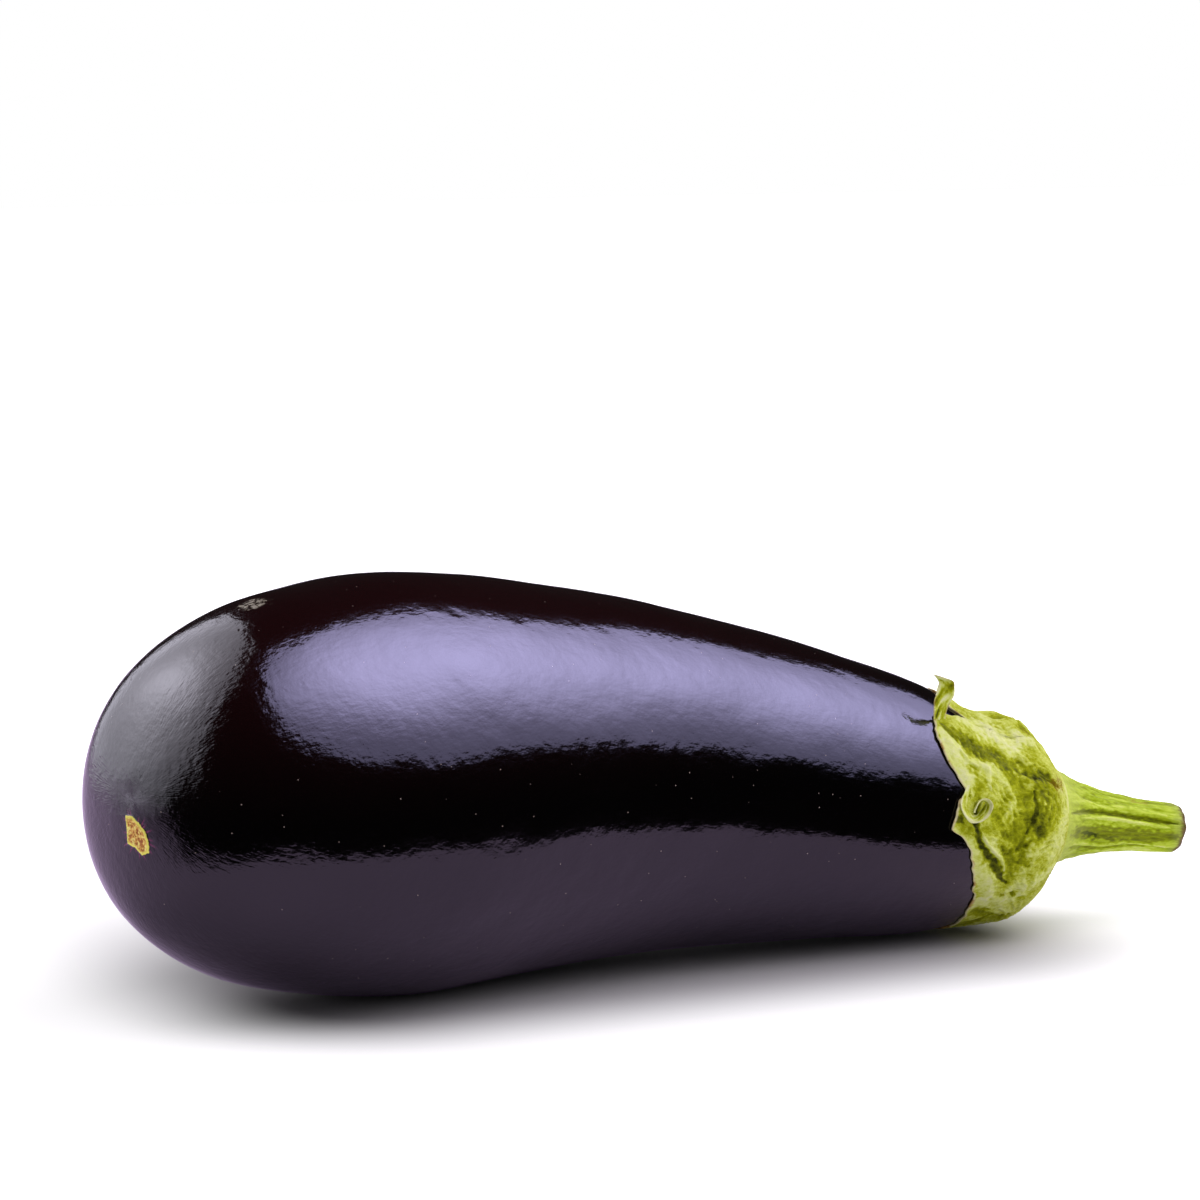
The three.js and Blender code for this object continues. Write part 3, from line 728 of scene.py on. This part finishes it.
stem = {
    "stations": [
        (225.7, 11.3), (226.32, 11.1), (228, 10.2), (231, 8.9), (234.5, 7.85), (238, 7.1), (242, 6.45),
        (246, 6.0), (250, 5.72), (254, 5.6), (256.9, 5.45), (258.2, 4.9), (258.75, 4.1),
    ],
    # marks: tone, rise, half width, path of (s, angle); sunk marks are darker as painted shade in the
    # grooves, raised ones paler as painted highlight on the ridges
    "marks": [
        (1.0, -0.75, 0.6, [(227, 77), (231, 73), (235.5, 70), (243.5, 70.5), (251.5, 74), (256, 76)]),
        (-0.7, 0.3, 0.4, [(230, 82), (238, 79), (244, 81), (250, 86), (254, 88)]),
        (0.95, -0.35, 1.7, [(229, 98), (236, 104), (242, 110), (250, 112), (256, 107)]),
        (0.8, -0.35, 0.9, [(227.5, 104), (230.5, 107), (235, 110)]),
        (-0.5, 0.25, 0.5, [(229, 118), (233, 123), (237.5, 131), (245, 129), (254, 134)]),
        (0.6, -0.35, 0.45, [(228, 124), (232, 130), (238, 139), (246, 137), (254, 141)]),
        (-0.4, 0.2, 0.5, [(232, 140), (240, 150), (252, 150)]),
        (0.45, -0.25, 0.5, [(229, 46), (233, 50), (238, 53)]),
        (-0.5, 0.2, 1.0, [(230, 60), (236, 57), (246, 58), (253, 60)]),
        (0.5, -0.5, 0.9, [(227, 190), (240, 186), (256, 190)]),
        (0.4, -0.5, 0.8, [(227, 242), (240, 248), (256, 246)]),
        (0.5, -0.45, 0.8, [(227, 306), (240, 300), (256, 304)]),
        (0.3, -0.3, 0.7, [(227, 12), (240, 20), (256, 16)]),
    ],
    "browned": [(0.5, 0, 0.9, [(244, 22), (250, 24)])],
    "ribs": [(1.5, 0.08), (0.8, 0.05)],  # wave length round the stem and height
    "ribsFrom": (226.0, 230.0),  # s
    "ribsTo": (257.3, 258.8),
    "marksFrom": (226.0, 229.0),
    "marksTo": (255.5, 259.5),
    "mottleWave": 1.3,
    "sag": 0.38,  # how much lower it hangs than the growth line
    "sagFrom": (227.0, 239.0),
    "torn": 0.09,  # height of the waves in the cut
    "tornWave": 3.0,
    "tornFrom": (255.0, 258.0),
    "endRings": (0.85, 0.6, 0.3),  # shares of the cut's radius
    "columns": 300,
    "rings": 180,
    "cutEnd": 258.85,
}


def buildStem():
    t = np.linspace(0, len(stem["stations"]) - 1, stem["rings"])[:, None]
    angle = np.arange(stem["columns"])[None] * 360 / stem["columns"]
    s, r = np.moveaxis(profile(stem["stations"], t), -1, 0)
    s, angle = np.broadcast_arrays(s, angle)
    place = straightened(s, r, angle)
    mottle = waves(place, stem["mottleWave"], 31)
    # tone: painted shade along the grooves and painted highlight along the ridges
    tone, marked = drawMarks(stem["marks"], s, angle, np.radians(r), mottle)
    browned, _ = drawMarks(stem["browned"], s, angle, np.radians(r), mottle)
    marked = marked * between(s, *stem["marksFrom"]) * (1 - between(s, *stem["marksTo"]))
    fibre = place * (0.1, 1, 1)
    ribs = sum(height * waves(fibre, length, int(20 * length)) for length, height in stem["ribs"])
    ribs = ribs * between(s, *stem["ribsFrom"]) * (1 - between(s, *stem["ribsTo"]))
    sag = stem["sag"] * np.cos(np.radians(angle)) * between(s, *stem["sagFrom"])
    r = r + marked + ribs - sag
    s = s + stem["torn"] * waves(place, stem["tornWave"], 33) * between(s, *stem["tornFrom"])
    points = around(s, r, angle)
    inward = np.array(stem["endRings"])[:, None]
    endS, endR, endAngle = np.broadcast_arrays(stem["cutEnd"], r[-1:] * inward, angle[:1])
    rings = np.concatenate([points, around(endS, endR, endAngle)])
    foot = pointOnLine(stem["stations"][0][0])
    piece = closedMesh("stemStalk", foot, rings, pointOnLine(stem["cutEnd"]))
    straight = [straightened(s, r, angle), straightened(endS, endR, endAngle)]
    tagPlace(piece, "straight", np.concatenate(straight))
    tag(piece, "tone", np.concatenate([tone, 0 * endR]))
    tag(piece, "browned", np.concatenate([browned, 0 * endR]))
    return piece


stemPiece = buildStem()
print("stem", len(stemPiece.data.polygons), "faces")

# Finishes: tones run from pale to dark, and each ramp turns them into colours


def skinFinish():  # nearly black, with painted light turning it dark red towards the top, with the scar, its rays, a healed patch and specks
    f = Finish(bpy.data.materials.new("glossySkin"), IOR=1.5)
    mm = f.millimetres()
    grown = f.attribute("grown", "Vector")
    streak = f.noise(f.stretched(grown, 0.4, 1.0, 1.0), 0.8, 2.0, 0.5)
    peel = f.noise(mm, 1.5, 2.0, 0.55)
    broad = f.noise(mm, 4.0, 1.0, 0.5)
    pits = f.between(f.cells(mm, 5.2), 0.13, 0.02)
    run = f.node("ShaderNodeSeparateXYZ", {}, {0: grown}, 0)
    nearEnd = f.between(run, 75.0, 20.0)
    relief = streak * (nearEnd * 0.02 + 0.025) + peel * (nearEnd * 0.03 + 0.045) + broad * 0.09
    f.bump(relief - pits * nearEnd * 0.04)

    up = f.node("ShaderNodeSeparateXYZ", {}, {0: mm}, 2)
    nearBlack, maroonTopLight = (0.0003, 0.0001, 0.0002, 1.0), (0.0085, 0.0012, 0.0018, 1.0)
    # painted light: near black low down and dark red high up, standing in for light falling from above
    skin = f.mix(f.between(up, 40.0, 84.0), nearBlack, maroonTopLight)
    specks = f.between(f.cells(mm, 3.0), 0.05, 0.025) * f.between(f.noise(mm, 9.0), 0.38, 0.5)
    skin = f.mix(specks, skin, paint(150, 135, 130))
    s, angle = map(np.array, fruit["healedAt"])
    healedPoint = tuple(around(s, skinRadius(s, angle), angle))
    healed = f.vector("DISTANCE", mm, healedPoint, "Value") + f.noise(mm, 1.6, 3.0, 0.6) * 5.0
    healed = f.between(healed, fruit["healedRadius"] + 2.6, fruit["healedRadius"] + 1.2)
    healed = healed * f.between(f.noise(mm, 1.1, 3.0, 0.6), 0.42, 0.56)
    skin = f.mix(healed * 0.8, skin, paint(150, 142, 128))
    skin = f.mix(f.attribute("ray") * 0.55, skin, paint(150, 50, 110))
    grain = f.noise(mm, 0.7, 3.0, 0.6)
    inward = f.attribute("scar")
    cork = f.ramp(grain, [
        (0.40, paint(140, 74, 26)), (0.50, paint(196, 138, 60)), (0.62, paint(222, 208, 120)),
    ])
    cork = f.mix(f.between(inward + grain, 1.25, 0.75), cork, paint(212, 202, 84))
    corky = f.between(inward + grain * 0.6, 0.25, 0.4)
    return f.give(Base_Color=f.mix(corky, skin, cork), Roughness=corky * 0.6 + healed * 0.25 + 0.12)


def leafFinish():  # calyx and its tips
    f = Finish(bpy.data.materials.new("calyxLeaf"), IOR=1.4, Roughness=0.6, Specular_IOR_Level=0.1)
    place = f.attribute("straight", "Vector")
    cloud = f.noise(place, 7.0, 2.0, 0.5)
    blotch = f.noise(place, 1.5, 3.0, 0.6)
    grain = f.noise(f.stretched(place, 0.6, 1.0, 1.0), 0.45, 3.0, 0.65)
    tone = f.attribute("tone") * 0.26 + cloud * 0.3 + blotch * 0.3 + grain * 0.38 + 0.01
    leaf = f.ramp(tone, [
        (0.18, paint(214, 214, 160)), (0.36, paint(204, 210, 118)), (0.47, paint(184, 190, 72)),
        (0.57, paint(156, 162, 16)), (0.68, paint(128, 134, 0)), (0.80, paint(98, 103, 0)),
        (0.97, paint(52, 55, 0)),
    ])
    brown = f.attribute("browned") * f.between(grain, 0.35, 0.55)
    leaf = f.mix(brown, leaf, paint(126, 98, 10))
    edge = f.between(f.attribute("edge") + blotch * 0.5, 0.95, 0.35)
    dry = f.between(f.noise(place, 2.6), 0.5, 0.62)
    margin = f.mix(dry, paint(216, 203, 165), paint(170, 120, 84))
    leaf = f.mix(edge * 0.8, leaf, margin)
    f.bump(grain * 0.16 + blotch * 0.25)
    return f.give(Base_Color=leaf)


def stemFinish():  # paler at its foot, brown at its cut
    f = Finish(bpy.data.materials.new("stemBark"), IOR=1.45, Roughness=0.5, Specular_IOR_Level=0.15)
    place = f.attribute("straight", "Vector")
    along = f.node("ShaderNodeSeparateXYZ", {}, {0: place}, 0)
    cloud = f.noise(f.stretched(place, 0.2, 1.0, 1.0), 3.5, 2.0, 0.5)
    fibre = f.noise(f.stretched(place, 0.22, 1.0, 1.0), 0.6, 3.0, 0.6)
    tone = f.attribute("tone") * 0.24 + cloud * 0.5 + fibre * 0.5
    leaf = f.ramp(tone, [
        (0.25, paint(210, 218, 122)), (0.42, paint(184, 202, 60)), (0.54, paint(152, 172, 8)),
        (0.68, paint(122, 132, 0)), (0.85, paint(70, 80, 0)),
    ])
    leaf = f.mix(f.between(along + cloud * 6.0, 256.5, 261.0) * 0.6, leaf, paint(150, 160, 84))
    leaf = f.mix(f.between(along + cloud * 6.0, 238.0, 228.0) * 0.55, leaf, paint(192, 200, 104))
    leaf = f.mix(f.attribute("browned") * f.between(fibre, 0.4, 0.6), leaf, paint(150, 96, 40))
    cut = f.between(along + fibre * 2.5, 257.6, 259.0)
    wood = f.ramp(fibre, [(0.35, paint(66, 50, 18)), (0.65, paint(120, 102, 52))])
    leaf = f.mix(cut, leaf, wood)
    f.bump(fibre * 0.14)
    return f.give(Base_Color=leaf)


leafMaterial = leafFinish()
dressed = [
    (fruitPiece, skinFinish(), "skin"),
    (calyxPiece, leafMaterial, "calyx"),
    (stemPiece, stemFinish(), "stem"),
]
for piece, material, slotName in dressed + [(tip, leafMaterial, "calyx") for tip in tipPieces]:
    piece.data.materials.append(material)
    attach(piece, "root")
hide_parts("fruit")
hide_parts("calyx")
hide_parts("stem")
print("finishes")

# Studio: a panel's corners are (right, up) from its centre, seen from the object

studio = {
    "middle": (0.0, 0.0, 40.0),
    "distance": 1100.0,
    "mainPanel": {
        "direction": (80, 60),  # azimuth from -Y towards +X, and elevation
        "corners": [
            (-1480, -480), (-1130, -830), (-760, -1060), (500, -1060), (860, -470), (620, -230),
            (530, -90), (545, 150), (500, 285), (420, 360), (310, 490), (190, 700), (-150, 990),
            (-400, 1050), (-770, 1070), (-1190, 900), (-1420, 560),
        ],
        "light": 2.1, "spots": [((-130, -60), 500, 9.0), ((-540, 560), 500, 3.2)],  # place, radius, light
        "colour": (0.74, 0.69, 1.18, 1.0),
    },
    "sidePanel": {
        "direction": (-140, 35),
        "corners": [
            (1130, -720), (1110, -300), (1000, 0), (800, 490), (330, 830), (-190, 750), (-560, 470),
            (-860, 120), (-1010, -120), (-1020, -380), (-860, -520), (-840, -720), (-360, -850),
            (300, -710),
        ],
        "light": 1.9, "spots": [((180, 20), 370, 5.5)],
        "colour": (0.88, 0.86, 1.0, 1.0),
    },
    "tablePatch": [  # (x, y), outline of the part of the table that shows in the skin's gloss
        (-4000, 2000), (-360, 15), (-236, -10), (-225, -37), (-115, -126), (-33, -110), (18, -87),
        (45, -82), (90, -59), (300, -34), (4000, 600), (4000, 4000), (-4000, 4000),
    ],
    "patchHeight": 0.01,
    "patchColour": (0.86, 0.66, 1.0, 1.0),
    "mattColour": (1.0, 0.97, 1.0, 1.0),
    "mattShare": 0.36,  # of the panels' light that matt surfaces get
    "worldForEye": 1.0,
    "worldForMatt": 0.25,
    "worldForGloss": 0.012,
    "floorSize": 4000.0,
    "floorColour": (0.44, 0.43, 0.45, 1.0),
    "lineFrom": (-70.0, -8.0, 0.0),  # the line on the floor under the fruit
    "lineLength": 125.0,
    "lineHeading": 0.0,
    "glow": [(18.0, 64.0, 0.72), (60.0, 200.0, 0.5)],  # painted floor light that leaves a painted shadow near the line: distances from the line, and strength
    "glowBehind": 0.45,  # share of its distance that a place behind the line counts as
}


def flatPiece(name, corners):  # corners in millimetres
    mesh = bpy.data.meshes.new(name)
    mesh.from_pydata((np.array(corners) * metre).tolist(), [], [list(range(len(corners)))])
    piece = bpy.data.objects.new(name, mesh)
    bpy.context.scene.collection.objects.link(piece)
    return piece


def lightPanel(name, spec):  # a flat panel that faces the middle, brighter round its spots
    azimuth, elevation = spec["direction"]
    away = direction(azimuth, elevation)
    right = direction(azimuth + 90, 0)
    up = np.cross(away, right)
    up = up * np.sign(up[2])
    centre = np.array(studio["middle"]) + away * studio["distance"]
    panel = flatPiece(name, [centre + u * right + v * up for u, v in spec["corners"]])
    panel.visible_camera = False
    f = Finish(bpy.data.materials.new(name + "Light"))
    strength = spec["light"]
    for (u, v), radius, more in spec["spots"]:
        gone = f.vector("DISTANCE", f.millimetres(), tuple(centre + u * right + v * up), "Value")
        strength = f.maths("EXPONENT", (gone * (1 / radius)) ** 2.0 * -1.0) * more + strength
    shiny = f.node("ShaderNodeLightPath", {}, {}, "Is Glossy Ray")
    colour = f.mix(shiny, studio["mattColour"], spec["colour"])
    share = shiny * (1 - studio["mattShare"]) + studio["mattShare"]
    light = f.scaled(colour, strength * share)
    emit = f.node("ShaderNodeEmission", {}, {"Color": light, "Strength": 1.0})
    f.feed(f.tree.nodes["Material Output"].inputs["Surface"], emit)
    panel.data.materials.append(f.owner)


def paintedFloorLight(f):  # painted light: the floor glows away from the line under the object, leaving a painted shadow around the object
    gone = f.vector("SUBTRACT", f.millimetres(), studio["lineFrom"])
    heading = np.radians(studio["lineHeading"])
    run = f.vector("DOT_PRODUCT", gone, (np.cos(heading), np.sin(heading), 0), "Value")
    side = f.vector("DOT_PRODUCT", gone, (-np.sin(heading), np.cos(heading), 0), "Value")
    half = studio["lineLength"] / 2
    past = f.maths("MAXIMUM", f.maths("ABSOLUTE", run - half) - half, 0.0)
    aside = f.maths("MAXIMUM", side * studio["glowBehind"], side * -1.0)
    away = f.maths("SQRT", past * past + aside * aside)
    near, far = [f.between(away, start, end) * strength for start, end, strength in studio["glow"]]
    return f.scaled((1, 1, 1), near + far)


lightPanel("mainPanel", studio["mainPanel"])
lightPanel("sidePanel", studio["sidePanel"])

size = studio["floorSize"]
floor = flatPiece("floor", [(-size, -size, 0), (size, -size, 0), (size, size, 0), (-size, size, 0)])
floor.visible_glossy = False
floorPaint = Finish(
    bpy.data.materials.new("floorPaint"), Base_Color=studio["floorColour"], Roughness=0.9,
    Specular_IOR_Level=0.1, Emission_Strength=1.0,
)
# the floor's emission is painted light, masked so that it leaves a painted shadow by the object
floor.data.materials.append(floorPaint.give(Emission_Color=paintedFloorLight(floorPaint)))

patch = flatPiece("tablePatch", [(x, y, studio["patchHeight"]) for x, y in studio["tablePatch"]])
patch.visible_camera = False
patch.visible_diffuse = False
patch.visible_shadow = False
patchPaint = Finish(
    bpy.data.materials.new("patchPaint"), Base_Color=studio["patchColour"], Roughness=0.9,
    Specular_IOR_Level=0.1,
)
patch.data.materials.append(patchPaint.owner)

air = Finish(bpy.data.worlds.new("studioAir"), "Background", Strength=1.0)
seen = air.node("ShaderNodeLightPath", {}, {}, "Is Camera Ray")
matt = air.node("ShaderNodeLightPath", {}, {}, "Is Diffuse Ray")
shiny = air.node("ShaderNodeLightPath", {}, {}, "Is Glossy Ray")
share = seen * studio["worldForEye"] + matt * studio["worldForMatt"] + shiny * studio["worldForGloss"]
bpy.context.scene.world = air.give(Color=air.scaled((1, 1, 1), share))
print("studio")

# Camera

camera = {
    "azimuth": -28.0,
    "elevation": 7.0,
    "distance": 950.0,
    "target": (-22.94, -17.26, 80.1),
    "focal": 4634.0,  # in pixels of the photo, as the frame is
    "frame": 1200.0,
    "sensor": 36.0,
}
lens = bpy.data.cameras.new("camera")
lens.sensor_width = camera["sensor"]
lens.lens = camera["focal"] / camera["frame"] * camera["sensor"]
lens.clip_start = 0.01
lens.clip_end = 60.0
eye = bpy.data.objects.new("camera", lens)
bpy.context.scene.collection.objects.link(eye)
back = direction(camera["azimuth"], camera["elevation"])
side = direction(camera["azimuth"] + 90, 0)
above = np.cross(back, side)
spot = (np.array(camera["target"]) + back * camera["distance"]) * metre
eye.matrix_world = Matrix([(side[k], above[k], back[k], spot[k]) for k in range(3)] + [(0, 0, 0, 1)])
bpy.context.scene.camera = eye
bpy.context.scene.view_settings.view_transform = "Standard"
print("camera")
